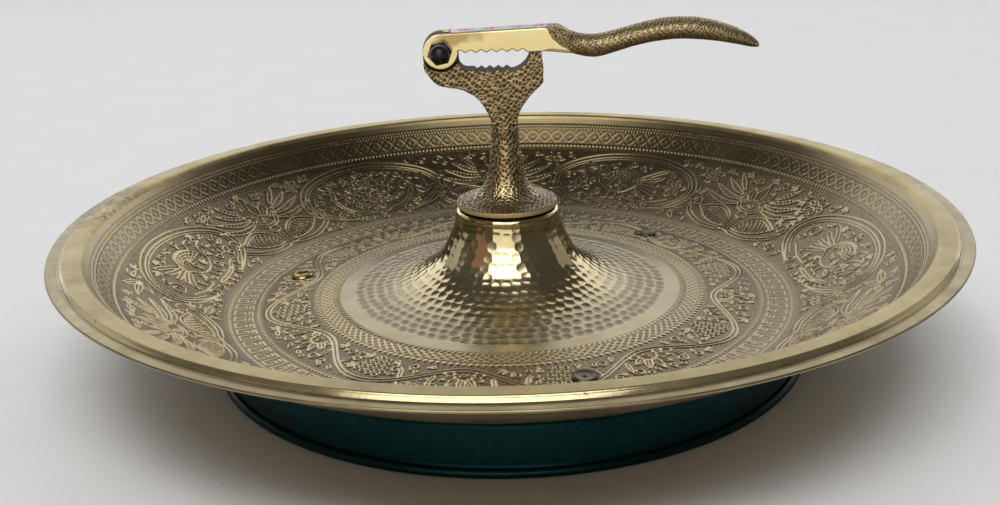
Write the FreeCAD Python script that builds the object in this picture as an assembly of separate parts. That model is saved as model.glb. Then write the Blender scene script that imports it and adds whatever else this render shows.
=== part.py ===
import FreeCAD, Part
import os
from math import cos, sin, radians, atan2, degrees, hypot

# Brass nut bowl with a built-in lever nutcracker, on a painted steel base.
# Millimetres. +Z is up, the table is z = 0 and the bowl's axis is the Z axis.
# The nutcracker lies in the XZ plane and its handle points along +X.

V = FreeCAD.Vector

# --- driving dimensions ---------------------------------------------------------------
RIM_RADIUS = 150.0          # outside of the bowl's rim
RIM_HEIGHT = 47.3           # flat lip above the table
SHEET = 1.0                 # spun brass sheet
BASE_SHEET = 0.9            # pressed steel sheet
SEAM = 0.05                 # gap between two sheets or faces that lie together

LIP_OUTER = 145.8           # the flat lip turns down outside this radius
LIP_INNER = 140.0           # and inside this one
NOSE_RADIUS = 0.55          # rounded cut edge of the rim
NOSE_DROP = 1.42            # centre of that edge below the lip

FLOOR_INNER = 60.0          # the floor is a shallow cone between these radii
FLOOR_OUTER = 88.0
FLOOR_DEPTH = 27.6          # floor below the lip at FLOOR_INNER
FLOOR_SLOPE = 0.0875        # it falls outwards by this much per millimetre

DOME_RADIUS = 17.6          # side of the centre dome at its top
DOME_RISE = 1.1             # dome's flat top above the lip
DOME_CORNER = 1.5           # rounding of the dome's shoulder

BASE_RADIUS = 100.8         # outside of the foot bead
BASE_FLANGE_INNER = 70.0    # inner edge of the base's top flange

RIVET_CIRCLE = 77.0         # radius that the three rivets stand on
RIVET_ANGLES = (46.0, 166.0, 286.0)
RIVET_SHANK = 2.0
RIVET_HEAD = 3.9
RIVET_TAIL = 3.2
RIVET_FIT = 0.05

FOOT_RADIUS = 17.0          # round foot of the post
FOOT_EDGE = 1.75            # thickness of the foot at its edge
GASKET = 0.8                # fibre washer between dome and foot
GASKET_RADIUS = 15.4
NECK_RADIUS = 4.55          # thinnest part of the post

SCREW_RADIUS = 3.0          # M6 screw that holds the post
SCREW_FIT = 0.05
SCREW_LENGTH = 17.0
SCREW_HEAD_FLATS = 10.0
SCREW_HEAD = 4.0
PLAIN_WASHER = (14.0, 1.5)  # outside radius, thickness
SPRING_WASHER = (5.6, 1.6)

PIVOT_X = -20.2             # axis of the lever, along Y
PIVOT_RISE = 54.9           # above the lip
PIVOT_RADIUS = 2.0          # M4 bolt
PIVOT_FIT = 0.06
BOSS_RADIUS = 5.7           # round end of the lever's two cheeks
TONGUE_RADIUS = 5.8         # round end of the post's tongue, between the cheeks
TONGUE_HALF = 2.35
SLOT_HALF = 2.5
SLOT_RADIUS = 6.5
RECESS_RADIUS = 6.3         # step in the post that the cheeks turn in
JAW_HALF = 4.1              # half the thickness of the fixed jaw
LEVER_HALF = 4.8            # half the width of the lever

LOWER_TIP = 48.7            # fixed teeth, tip height above the lip
LOWER_PITCH = 2.8
LOWER_TEETH = 4
LOWER_FIRST = -7.2
UPPER_TIP = 54.2            # moving teeth
UPPER_PITCH = 3.35
UPPER_TEETH = 6
UPPER_FIRST = -12.0
TOOTH_DEPTH = 1.0
HORN_TOP = 53.9             # the closed lever rests just above this
JAW_RIGHT = 13.0            # right side of the fixed jaw

LEVER_TOP_LEFT = 60.6       # lever's top face, above the lip, over the pivot
LEVER_TOP_RIGHT = 61.9      # and where the handle begins
LEVER_SHOULDER = 18.2       # X where the handle begins
LEVER_UNDER = 54.05         # flat underside that rests on the horn

INLAY_X = (-16.8, 14.6)     # enamel strip on the lever's top face
INLAY_HALF = 3.0
INLAY_THICK = 0.7
INLAY_SUNK = 0.5

NUT_FLATS = 7.0             # M4 domed nut
NUT_HEX = 3.0
NUT_DOME = 3.2
BOLT_HEAD_RADIUS = 3.5
BOLT_HEAD = 2.6

# Stations of the handle: X, underside and top above the lip, half the width.
HANDLE = (
    (16.0, 54.2, 61.4, 4.3),
    (20.0, 53.1, 61.0, 4.7),
    (24.6, 51.9, 59.2, 4.6),
    (29.0, 51.1, 58.6, 4.5),
    (36.0, 52.4, 59.6, 4.7),
    (45.0, 54.8, 61.8, 5.2),
    (55.0, 56.1, 63.3, 5.6),
    (65.0, 55.7, 62.7, 5.4),
    (73.0, 54.5, 60.5, 4.6),
    (79.5, 53.1, 57.5, 3.4),
    (83.4, 52.7, 54.3, 1.3),
)


# --- helpers --------------------------------------------------------------------------
def at(x, rise):
    """A point in the XZ plane; the rise is measured from the bowl's lip."""
    return V(x, 0, RIM_HEIGHT + rise)


def line(a, b):
    return Part.LineSegment(at(*a), at(*b)).toShape()


def arc(a, b, c):
    return Part.Arc(at(*a), at(*b), at(*c)).toShape()


def spline(points, start=None, end=None):
    """A smooth curve through the points, with a direction at each end if given."""
    curve = Part.BSplineCurve()
    places = [at(*p) for p in points]
    if start is None:
        curve.interpolate(Points=places)
    else:
        curve.interpolate(Points=places, InitialTangent=V(start[0], 0, start[1]),
                          FinalTangent=V(end[0], 0, end[1]))
    return curve


def beside(curve, distance, count=24):
    """The curve that runs beside another one, on its right."""
    first, last = curve.FirstParameter, curve.LastParameter
    places = []
    for i in range(count + 1):
        t = first + (last - first) * i / count
        p = curve.value(t)
        d = curve.tangent(t)[0]
        places.append(V(p.x + d.z * distance, 0, p.z - d.x * distance))
    d0 = curve.tangent(first)[0]
    d1 = curve.tangent(last)[0]
    copy = Part.BSplineCurve()
    copy.interpolate(Points=places, InitialTangent=d0, FinalTangent=d1)
    return copy


def revolved(edges):
    """A solid of revolution about the Z axis from a closed XZ outline."""
    face = Part.Face(Part.Wire(Part.__sortEdges__(edges)))
    return face.revolve(V(0, 0, 0), V(0, 0, 1), 360)


def plate(edges, half):
    """A closed XZ outline made into a plate, half on each side of y = 0."""
    face = Part.Face(Part.Wire(Part.__sortEdges__(edges)))
    face.translate(V(0, -half, 0))
    return face.extrude(V(0, 2 * half, 0))


def cross_rod(x, rise, radius, y0, y1):
    """A cylinder along Y."""
    return Part.makeCylinder(radius, y1 - y0, V(x, y0, RIM_HEIGHT + rise), V(0, 1, 0))


def block(x0, x1, half, rise0, rise1):
    """A box that is centred on y = 0."""
    return Part.makeBox(x1 - x0, 2 * half, rise1 - rise0, V(x0, -half, RIM_HEIGHT + rise0))


def hexagon(flats, height):
    """A hexagonal prism that stands on z = 0."""
    corner = flats / 2 / cos(radians(30))
    points = [V(corner * cos(radians(60 * i)), corner * sin(radians(60 * i)), 0) for i in range(7)]
    return Part.Face(Part.makePolygon(points)).extrude(V(0, 0, height))


def floor_rise(radius):
    """The bowl's floor, measured from the lip."""
    return -FLOOR_DEPTH - (radius - FLOOR_INNER) * FLOOR_SLOPE


# --- bowl -----------------------------------------------------------------------------
def bowl_wall():
    """From the floor's outer edge, up the engraved wall, to the lip."""
    points = [(FLOOR_OUTER, floor_rise(FLOOR_OUTER)), (96.0, -29.7), (104.0, -27.0), (112.0, -23.0),
              (121.0, -17.9), (130.3, -11.4), (136.0, -4.2), (LIP_INNER - 1.2, -0.7)]
    return spline(points, start=(1, -FLOOR_SLOPE), end=(0.6, 0.8))


def bowl_dome():
    """From the floor's inner edge, up the hammered dome, to its shoulder."""
    points = [(FLOOR_INNER, floor_rise(FLOOR_INNER)), (48.0, -26.4), (40.0, -25.0), (33.2, -22.5),
              (26.9, -18.5), (23.3, -15.0), (21.1, -11.2), (19.3, -7.5), (18.1, -3.8),
              (DOME_RADIUS, DOME_RISE - DOME_CORNER)]
    return spline(points, start=(-1, FLOOR_SLOPE), end=(0, 1))


def bowl_section():
    """The sheet's closed outline: its upper side from the centre out, then its underside back."""
    wall = bowl_wall()
    dome = bowl_dome()
    wall_under = beside(wall, SHEET)
    dome_under = beside(dome, -SHEET)
    hole = SCREW_RADIUS + 0.3
    shoulder = DOME_RADIUS - DOME_CORNER
    corner_mid = DOME_CORNER * sin(radians(45))
    inner_corner = DOME_CORNER - SHEET
    inner_mid = inner_corner * sin(radians(45))
    shoulder_rise = DOME_RISE - DOME_CORNER
    nose_x = RIM_RADIUS - NOSE_RADIUS
    nose_top = (nose_x + NOSE_RADIUS * cos(radians(115)), -NOSE_DROP + NOSE_RADIUS * sin(radians(115)))
    nose_low = (nose_x, -NOSE_DROP - NOSE_RADIUS)
    wall_end = (wall.EndPoint.x, wall.EndPoint.z - RIM_HEIGHT)
    under_end = (wall_under.EndPoint.x, wall_under.EndPoint.z - RIM_HEIGHT)
    floor_top = line((FLOOR_INNER, floor_rise(FLOOR_INNER)), (FLOOR_OUTER, floor_rise(FLOOR_OUTER)))
    floor_under = Part.LineSegment(dome_under.StartPoint, wall_under.StartPoint).toShape()
    return [
        line((hole, DOME_RISE), (shoulder, DOME_RISE)),
        arc((shoulder, DOME_RISE), (shoulder + corner_mid, shoulder_rise + corner_mid),
            (DOME_RADIUS, shoulder_rise)),
        dome.toShape(),
        floor_top,
        wall.toShape(),
        arc(wall_end, (LIP_INNER - 0.5, -0.2), (LIP_INNER + 0.3, 0)),
        line((LIP_INNER + 0.3, 0), (LIP_OUTER, 0)),
        arc((LIP_OUTER, 0), (147.6, -0.22), nose_top),
        arc(nose_top, (RIM_RADIUS, -NOSE_DROP), nose_low),
        line(nose_low, (148.7, -1.75)),
        arc((148.7, -1.75), (147.4, -1.2), (LIP_OUTER, -SHEET)),
        line((LIP_OUTER, -SHEET), (LIP_INNER + 0.8, -SHEET)),
        line((LIP_INNER + 0.8, -SHEET), under_end),
        wall_under.toShape(),
        floor_under,
        dome_under.toShape(),
        arc((DOME_RADIUS - SHEET, shoulder_rise), (shoulder + inner_mid, shoulder_rise + inner_mid),
            (shoulder, DOME_RISE - SHEET)),
        line((shoulder, DOME_RISE - SHEET), (hole, DOME_RISE - SHEET)),
        line((hole, DOME_RISE - SHEET), (hole, DOME_RISE)),
    ]


def on_rivet(shape, angle):
    """Stand a shape, made about the Z axis, square on the floor at one of the rivets."""
    tilt = degrees(atan2(FLOOR_SLOPE, 1))
    shape.rotate(V(0, 0, 0), V(0, 1, 0), tilt)
    shape.translate(at(RIVET_CIRCLE, floor_rise(RIVET_CIRCLE)))
    shape.rotate(V(0, 0, 0), V(0, 0, 1), angle)
    return shape


def rivet_hole(angle):
    drill = Part.makeCylinder(RIVET_SHANK + RIVET_FIT, 12, V(0, 0, -6))
    return on_rivet(drill, angle)


def bowl():
    solid = revolved(bowl_section())
    for angle in RIVET_ANGLES:
        solid = solid.cut(rivet_hole(angle))
    return solid


# --- base -----------------------------------------------------------------------------
def base():
    """Pressed ring: a flange under the bowl's floor, a skirt, a groove and a foot bead."""
    top = -SHEET * hypot(1, FLOOR_SLOPE) - SEAM
    inner_top = (BASE_FLANGE_INNER, floor_rise(BASE_FLANGE_INNER) + top)
    outer_top = (FLOOR_OUTER, floor_rise(FLOOR_OUTER) + top)
    level = outer_top[1] - 0.25
    bead = BASE_RADIUS - 1.3
    table = -RIM_HEIGHT
    edges = [
        line(inner_top, outer_top),
        line(outer_top, (95.4, level)),
        arc((95.4, level), (97.1, level - 0.7), (97.7, level - 2.2)),
        line((97.7, level - 2.2), (99.2, table + 3.6)),
        line((99.2, table + 3.6), (98.0, table + 2.9)),
        line((98.0, table + 2.9), (98.3, table + 2.2)),
        arc((98.3, table + 2.2), (BASE_RADIUS, table + 1.2), (bead + 0.6, table)),
        line((bead + 0.6, table), (bead - 0.8, table)),
        arc((bead - 0.8, table), (bead - 1.9, table + 0.45), (bead - 2.4, table + 1.5)),
        line((bead - 2.4, table + 1.5), (98.0 - BASE_SHEET, table + 3.4)),
        line((98.0 - BASE_SHEET, table + 3.4), (99.2 - BASE_SHEET, table + 4.1)),
        line((99.2 - BASE_SHEET, table + 4.1), (97.7 - BASE_SHEET, level - 2.2)),
        arc((97.7 - BASE_SHEET, level - 2.2), (96.5, level - 1.35), (95.2, level - BASE_SHEET)),
        line((95.2, level - BASE_SHEET), (outer_top[0], outer_top[1] - BASE_SHEET)),
        line((outer_top[0], outer_top[1] - BASE_SHEET), (inner_top[0], inner_top[1] - BASE_SHEET)),
        line((inner_top[0], inner_top[1] - BASE_SHEET), inner_top),
    ]
    solid = revolved(edges)
    for angle in RIVET_ANGLES:
        solid = solid.cut(rivet_hole(angle))
    return solid


def rivet(angle):
    """Brass rivet: low domed head with a dimple, shank through both sheets, spread tail."""
    grip = SHEET + BASE_SHEET + 3 * SEAM
    head = RIVET_HEAD
    lift = SEAM
    outline = [
        Part.Arc(V(1.5, 0, 1.05), V(2.9, 0, 0.9), V(head, 0, lift)).toShape(),
        Part.LineSegment(V(head, 0, lift), V(RIVET_SHANK, 0, lift)).toShape(),
        Part.LineSegment(V(RIVET_SHANK, 0, lift), V(RIVET_SHANK, 0, -grip)).toShape(),
        Part.LineSegment(V(RIVET_SHANK, 0, -grip), V(RIVET_TAIL, 0, -grip)).toShape(),
        Part.Arc(V(RIVET_TAIL, 0, -grip), V(2.5, 0, -grip - 0.8), V(1.0, 0, -grip - 0.9)).toShape(),
        Part.LineSegment(V(1.0, 0, -grip - 0.9), V(0, 0, -grip - 0.9)).toShape(),
        Part.LineSegment(V(0, 0, -grip - 0.9), V(0, 0, 0.3)).toShape(),
        Part.Arc(V(0, 0, 0.3), V(0.85, 0, 0.5), V(1.5, 0, 1.05)).toShape(),
    ]
    return on_rivet(revolved(outline), angle)


# --- post with the fixed jaw ----------------------------------------------------------
def teeth(first, pitch, count, tip, depth):
    """Zigzag points from the valley before the first tooth to the valley after the last."""
    points = [(first - pitch / 2, tip + depth)]
    for i in range(count):
        points.append((first + i * pitch, tip))
        points.append((first + (i + 0.5) * pitch, tip + depth))
    return points


def chain(points):
    return [line(a, b) for a, b in zip(points, points[1:])]


def jaw_outline():
    """The fixed jaw, seen from the front, with the tongue that the lever turns on."""
    fixed = teeth(LOWER_FIRST, LOWER_PITCH, LOWER_TEETH, LOWER_TIP, -TOOTH_DEPTH)
    right = spline([(4.4, 30.0), (5.0, 34.0), (8.0, 38.7), (JAW_RIGHT, 43.9)])
    horn = spline([fixed[-1], (5.2, 48.5), (7.7, 50.8), (8.8, HORN_TOP - 0.6)])
    left = spline([(-4.4, 30.0), (-5.4, 33.9), (-8.5, 38.6), (-15.0, 42.4), (-22.1, 44.4),
                   (-24.7, 47.4), (PIVOT_X - TONGUE_RADIUS, PIVOT_RISE)], start=(0, 1), end=(0, 1))
    tongue_side = PIVOT_X + TONGUE_RADIUS
    corner = 3.0
    floor = LOWER_TIP - 0.1
    edges = [right.toShape(), horn.toShape(), left.toShape()]
    edges += chain([(JAW_RIGHT, 43.9), (JAW_RIGHT + 0.1, 48.5), (12.6, HORN_TOP), (8.9, HORN_TOP),
                    (8.8, HORN_TOP - 0.6)])
    edges += chain(fixed)
    edges += [
        line(fixed[0], (fixed[0][0] - 0.8, floor)),
        line((fixed[0][0] - 0.8, floor), (tongue_side + corner, floor)),
        arc((tongue_side + corner, floor), (tongue_side + 0.29 * corner, floor + 0.29 * corner),
            (tongue_side, floor + corner)),
        line((tongue_side, floor + corner), (tongue_side, PIVOT_RISE)),
        arc((tongue_side, PIVOT_RISE), (PIVOT_X, PIVOT_RISE + TONGUE_RADIUS),
            (PIVOT_X - TONGUE_RADIUS, PIVOT_RISE)),
        line((4.4, 30.0), (-4.4, 30.0)),
    ]
    return edges


def post_stem():
    """Round foot, concave flare and neck, turned about the Z axis."""
    under = DOME_RISE + GASKET
    flare = spline([(FOOT_RADIUS, under + FOOT_EDGE), (11.6, 5.2), (8.2, 8.2), (6.5, 11.6), (5.5, 18.5),
                    (4.8, 24.5), (NECK_RADIUS, 29.5), (4.1, 34.0)])
    return revolved([
        line((0, under), (FOOT_RADIUS, under)),
        line((FOOT_RADIUS, under), (FOOT_RADIUS, under + FOOT_EDGE)),
        flare.toShape(),
        arc((4.1, 34.0), (2.9, 36.6), (0, 38.0)),
        line((0, 38.0), (0, under)),
    ])


def post():
    solid = post_stem().fuse(plate(jaw_outline(), JAW_HALF))
    wide = JAW_HALF + 1
    recess = cross_rod(PIVOT_X, PIVOT_RISE, RECESS_RADIUS, -wide, wide)
    recess = recess.fuse(block(-30, -13, wide, 51.0, 62.0))
    core = block(-40, 20, TONGUE_HALF, 40.0, 70.0)
    solid = solid.cut(recess.cut(core))
    solid = solid.cut(cross_rod(PIVOT_X, PIVOT_RISE, PIVOT_RADIUS + PIVOT_FIT, -10, 10))
    under = RIM_HEIGHT + DOME_RISE + GASKET
    solid = solid.cut(Part.makeCylinder(SCREW_RADIUS + SCREW_FIT, SCREW_LENGTH - 2.0, V(0, 0, under)))
    return solid.removeSplitter()


# --- what holds the post to the dome --------------------------------------------------
def ring(outer, inner, bottom, height):
    """A flat washer about the Z axis."""
    foot = V(0, 0, bottom)
    return Part.makeCylinder(outer, height, foot).cut(Part.makeCylinder(inner, height, foot))


def foot_gasket():
    return ring(GASKET_RADIUS, SCREW_RADIUS + 0.3, RIM_HEIGHT + DOME_RISE, GASKET)


def plain_washer():
    outer, thick = PLAIN_WASHER
    return ring(outer, SCREW_RADIUS + 0.25, RIM_HEIGHT + DOME_RISE - SHEET - thick, thick)


def spring_washer():
    """One turn of square wire, cut through on a slant."""
    outer, thick = SPRING_WASHER
    bottom = RIM_HEIGHT + DOME_RISE - SHEET - PLAIN_WASHER[1] - thick
    solid = ring(outer, SCREW_RADIUS + 0.15, bottom, thick)
    gap = Part.makeBox(outer, 0.7, 4 * thick, V(1, -0.35, -2 * thick))
    gap.rotate(V(0, 0, 0), V(1, 0, 0), 25)
    gap.translate(V(0, 0, bottom + thick / 2))
    return solid.cut(gap)


def post_screw():
    """Hexagon screw, head down inside the dome."""
    top = RIM_HEIGHT + DOME_RISE - SHEET - PLAIN_WASHER[1] - SPRING_WASHER[1]
    head = hexagon(SCREW_HEAD_FLATS, SCREW_HEAD)
    head = head.common(Part.makeCone(SCREW_HEAD_FLATS / 2, SCREW_HEAD_FLATS, SCREW_HEAD_FLATS / 2))
    head.translate(V(0, 0, top - SCREW_HEAD))
    shank = Part.makeCylinder(SCREW_RADIUS, SCREW_LENGTH, V(0, 0, top))
    tip = [edge for edge in shank.Edges if edge.BoundBox.ZMin > top + SCREW_LENGTH - 0.01]
    return head.fuse(shank.makeChamfer(0.6, tip)).removeSplitter()


# --- lever ----------------------------------------------------------------------------
def lever_top(x):
    """Height of the lever's top face above the lip."""
    share = (x - PIVOT_X) / (LEVER_SHOULDER - PIVOT_X)
    return LEVER_TOP_LEFT + (LEVER_TOP_RIGHT - LEVER_TOP_LEFT) * share


def lever_bar():
    """The straight part, with the moving teeth underneath."""
    moving = teeth(UPPER_FIRST, UPPER_PITCH, UPPER_TEETH, UPPER_TIP, TOOTH_DEPTH)
    outline = [(PIVOT_X, moving[0][1]), (PIVOT_X, LEVER_TOP_LEFT), (LEVER_SHOULDER, LEVER_TOP_RIGHT),
               (22.0, 59.8), (22.0, 53.0), (14.0, LEVER_UNDER), (7.9, LEVER_UNDER)]
    outline += list(reversed(moving))
    outline.append(outline[0])
    return plate(chain(outline), LEVER_HALF)


def handle():
    """Curved handle: oval sections joined along X."""
    wires = []
    for x, low, high, half in HANDLE:
        centre = at(x, (low + high) / 2)
        up = (high - low) / 2
        if half >= up:
            oval = Part.Ellipse(centre + V(0, half, 0), centre + V(0, 0, up), centre)
        else:
            oval = Part.Ellipse(centre + V(0, 0, up), centre + V(0, half, 0), centre)
        wires.append(Part.Wire([oval.toShape()]))
    return Part.makeLoft(wires, True, False)


def inlay_bed(depth, height, clearance):
    """Room for the enamel strip, or the strip itself, square to the lever's top face."""
    x0, x1 = INLAY_X
    slope = degrees(atan2(LEVER_TOP_RIGHT - LEVER_TOP_LEFT, LEVER_SHOULDER - PIVOT_X))
    half = INLAY_HALF + clearance
    shape = Part.makeBox(x1 - x0 + 2 * clearance, 2 * half, height, V(-clearance, -half, -depth))
    upright = [edge for edge in shape.Edges if edge.Length > height - 0.01
               and abs(edge.BoundBox.ZLength - height) < 0.01]
    shape = shape.makeFillet(1.2, upright)
    shape.rotate(V(0, 0, 0), V(0, 1, 0), -slope)
    shape.translate(at(x0, lever_top(x0)))
    return shape


def lever():
    wide = LEVER_HALF
    solid = lever_bar().fuse(cross_rod(PIVOT_X, PIVOT_RISE, BOSS_RADIUS, -wide, wide))
    solid = solid.fuse(handle())
    slot = cross_rod(PIVOT_X, PIVOT_RISE, SLOT_RADIUS, -SLOT_HALF, SLOT_HALF)
    slot = slot.fuse(block(PIVOT_X - 10, PIVOT_X, SLOT_HALF, 44.0, 64.0))
    solid = solid.cut(slot)
    solid = solid.cut(cross_rod(PIVOT_X, PIVOT_RISE, PIVOT_RADIUS + SEAM, -10, 10))
    return solid.cut(inlay_bed(INLAY_SUNK, 3.0, SEAM)).removeSplitter()


def lever_inlay():
    """Enamel strip, a little proud of the lever's top face."""
    return inlay_bed(INLAY_SUNK, INLAY_THICK, 0.0)


# --- pivot ----------------------------------------------------------------------------
def facing(shape, direction, y):
    """Turn a shape made on z = 0 so that it points along +Y or -Y, and seat it at y."""
    shape.rotate(V(0, 0, 0), V(1, 0, 0), -90 * direction)
    shape.translate(V(PIVOT_X, y, RIM_HEIGHT + PIVOT_RISE))
    return shape


def pivot_bolt():
    """Round-headed slotted bolt, head at the back, thread towards the front."""
    head = Part.makeCylinder(BOLT_HEAD_RADIUS, BOLT_HEAD)
    rim = [edge for edge in head.Edges if edge.BoundBox.ZMin > BOLT_HEAD - 0.01]
    head = head.makeFillet(1.1, rim)
    head = head.cut(Part.makeBox(10, 1.1, 2, V(-5, -0.55, BOLT_HEAD - 1.2)))
    reach = 2 * LEVER_HALF + 2 * SEAM + NUT_HEX
    shank = Part.makeCylinder(PIVOT_RADIUS, reach, V(0, 0, -reach))
    return facing(head.fuse(shank).removeSplitter(), 1, LEVER_HALF + SEAM)


def acorn_nut():
    """Domed nut over the bolt's end, at the front."""
    hexed = hexagon(NUT_FLATS, NUT_HEX)
    hexed.rotate(V(0, 0, 0), V(0, 0, 1), 11)
    corner = NUT_FLATS / 2 + 0.2
    hexed = hexed.common(Part.makeCone(corner + NUT_HEX, corner, NUT_HEX))
    dome = Part.makeCylinder(NUT_DOME, 1.4, V(0, 0, NUT_HEX))
    cap = Part.makeSphere(NUT_DOME, V(0, 0, NUT_HEX + 1.4), V(0, 0, 1), 0, 90, 360)
    solid = hexed.fuse(dome).fuse(cap)
    thread = Part.makeCylinder(PIVOT_RADIUS + SEAM, NUT_HEX + 1.5)
    return facing(solid.cut(thread).removeSplitter(), -1, -LEVER_HALF - SEAM)


# --- export ---------------------------------------------------------------------------
def main():
    os.makedirs("parts", exist_ok=True)
    nodes = {
        "bowl": bowl(),
        "base": base(),
        "post": post(),
        "foot_gasket": foot_gasket(),
        "plain_washer": plain_washer(),
        "spring_washer": spring_washer(),
        "post_screw": post_screw(),
        "lever": lever(),
        "lever_inlay": lever_inlay(),
        "pivot_bolt": pivot_bolt(),
        "acorn_nut": acorn_nut(),
    }
    for i, angle in enumerate(RIVET_ANGLES, start=1):
        nodes["rivet_%d" % i] = rivet(angle)
    for name, shape in nodes.items():
        if not shape.isValid() or len(shape.Solids) != 1:
            raise ValueError("%s: valid %s, solids %d" % (name, shape.isValid(), len(shape.Solids)))
        shape.exportStep("parts/%s.step" % name)
        box = shape.BoundBox
        print("%-14s %9.1f mm3  x %.2f..%.2f  y %.2f..%.2f  z %.2f..%.2f" % (
            name, shape.Volume, box.XMin, box.XMax, box.YMin, box.YMax, box.ZMin, box.ZMax))


main()
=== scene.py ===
import math
from functools import partial
import bpy
import numpy as np
from mathutils import Matrix, Vector


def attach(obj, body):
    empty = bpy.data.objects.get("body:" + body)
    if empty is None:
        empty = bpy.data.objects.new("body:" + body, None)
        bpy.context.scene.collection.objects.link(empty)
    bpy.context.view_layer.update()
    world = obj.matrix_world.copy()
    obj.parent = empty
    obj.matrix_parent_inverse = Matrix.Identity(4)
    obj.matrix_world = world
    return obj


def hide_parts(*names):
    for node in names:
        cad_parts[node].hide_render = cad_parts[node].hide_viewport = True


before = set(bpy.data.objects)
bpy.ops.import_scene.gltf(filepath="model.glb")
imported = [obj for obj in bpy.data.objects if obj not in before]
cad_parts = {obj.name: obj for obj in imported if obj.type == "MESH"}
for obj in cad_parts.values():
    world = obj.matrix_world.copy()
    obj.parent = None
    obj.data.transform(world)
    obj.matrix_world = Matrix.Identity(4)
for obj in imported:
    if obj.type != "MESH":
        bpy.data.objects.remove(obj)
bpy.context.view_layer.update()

# Engraved brass nut bowl with a built-in nutcracker. The maths below is in millimetres,
# and make_mesh turns it into metres. Heights called "rise" are measured from the flat lip.
MM = 0.001
TAU = 2 * math.pi
FAR = 9.0                   # stands for a distance that is too far to matter
DIAGONAL = 1.414            # from corner to corner of a square cell
SHEET = 1.0                 # thickness of the brass
RIM_HEIGHT = 47.3           # of the flat lip, above the table
FLOOR_START = 60.0          # radius where the dome's skirt ends in the cone of the floor
FLOOR_END = 88.0            # radius where that cone ends in the wall
FLOOR_RISE = -27.6          # at FLOOR_START
FLOOR_SLOPE = 0.0875        # how much the floor falls outwards
DOME_RISE = 1.1
HOLE_RADIUS = 3.3           # for the screw, in the middle of the dome
DOME_EDGE = 53.6            # where the hammered dome meets the floor's plain ring
FLOOR_EDGE = 96.6           # where the floor's bands meet the wall's
WALL_EDGE = 138.2           # where the wall's plain hollow meets the lip
RIVETS = (46, 166, 286)     # degrees round the bowl
RIVET_CIRCLE = 77.0
MEDALLIONS = (3, 64, 120, 173, 235, 299)    # degrees round the bowl
BIRDS = (0, 1, 3, 5)        # the medallions that hold a bird
FLOOR_UNITS = 8             # waves of the grape vine
MOST_SPRIGS = 1500          # in one frieze
PIVOT = (-20.2, 54.9)       # X and rise of the lever's axis
rng = np.random.default_rng(7)


# --- meshes -----------------------------------------------------------------------------
def new_object(name, data):
    """An object in the scene, round a mesh, a light or a camera."""
    ob = bpy.data.objects.new(name, data)
    bpy.context.scene.collection.objects.link(ob)
    return ob


def store(mesh, values):
    """Named numbers for each point of a mesh."""
    for key, numbers in values.items():
        layer = mesh.attributes.new(key, "FLOAT", "POINT")
        layer.data.foreach_set("value", np.asarray(numbers, np.float32).ravel())


def make_mesh(name, points, faces, values=None):
    """A smooth quad mesh from points in millimetres, with named numbers for each point."""
    mesh = bpy.data.meshes.new(name)
    mesh.vertices.add(len(points))
    mesh.vertices.foreach_set("co", (np.asarray(points) * MM).ravel())
    mesh.loops.add(faces.size)
    mesh.loops.foreach_set("vertex_index", faces.ravel())
    mesh.polygons.add(len(faces))
    mesh.polygons.foreach_set("loop_start", np.arange(0, faces.size, faces.shape[1]))
    mesh.update(calc_edges=True)
    mesh.shade_smooth()
    store(mesh, values or {})
    return new_object(name, mesh)


def ring_faces(rows, columns):
    """Quads of a grid that closes on itself round the axis."""
    here = np.arange(rows * columns).reshape(rows, columns)
    beside = np.roll(here, -1, axis=1)
    return np.stack([here[:-1], here[1:], beside[1:], beside[:-1]], axis=-1).reshape(-1, 4)


# --- lines ------------------------------------------------------------------------------
def distances(points):
    """How far along its line each point lies."""
    return np.concatenate([[0], np.cumsum(np.hypot(*np.diff(points, axis=0).T))])


def normals(points):
    """The direction to the left of a line, at each of its points."""
    d = np.gradient(points, axis=0)
    return np.stack([-d[:, 1], d[:, 0]], axis=1) / (np.hypot(*d.T)[:, None] + 1e-9)


def shifted(points, distance):
    """A line moved to its left by a distance, which may differ from point to point."""
    return points + normals(points) * np.reshape(distance, (-1, 1))


def around(cx, cy, rx, ry, angle):
    """Points round a centre, at angles in radians."""
    return np.stack([cx + rx * np.cos(angle), cy + ry * np.sin(angle)], axis=1)


def polar(x, y, distance, angle):
    """The point at a distance from another one, in a direction in degrees."""
    return x + distance * math.cos(math.radians(angle)), y + distance * math.sin(math.radians(angle))


def turned(x, y, angle, along, across):
    """Places along and across a direction in degrees, from a point."""
    c, s = math.cos(math.radians(angle)), math.sin(math.radians(angle))
    return np.stack([x + c * along - s * across, y + s * along + c * across], axis=-1)


def placed(x, y, side, points):
    """Points from a centre. A side of -1 mirrors them and 1 doesn't."""
    return [(x + side * px, y + py) for px, py in points]


def clamped_spline(points, start, end, step):
    """Points about step apart on the smooth curve through some points, with its end directions."""
    p = np.array(points, float)
    t = distances(p)
    h = np.diff(t)
    n = len(p)
    a = np.eye(n)
    d = np.zeros((n, 2))
    d[0] = np.array(start) / np.hypot(*start)
    d[-1] = np.array(end) / np.hypot(*end)
    for i in range(1, n - 1):
        a[i, i - 1:i + 2] = h[i], 2 * (h[i - 1] + h[i]), h[i - 1]
        d[i] = 3 * (h[i] * (p[i] - p[i - 1]) / h[i - 1] + h[i - 1] * (p[i + 1] - p[i]) / h[i])
    m = np.linalg.solve(a, d)
    u = np.linspace(0, t[-1], max(int(t[-1] / step), 2))
    k = np.clip(np.searchsorted(t, u) - 1, 0, n - 2)
    w = ((u - t[k]) / h[k])[:, None]
    hk = h[k][:, None]
    return ((2 * w**3 - 3 * w**2 + 1) * p[k] + (w**3 - 2 * w**2 + w) * hk * m[k]
            + (3 * w**2 - 2 * w**3) * p[k + 1] + (w**3 - w**2) * hk * m[k + 1])


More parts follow.
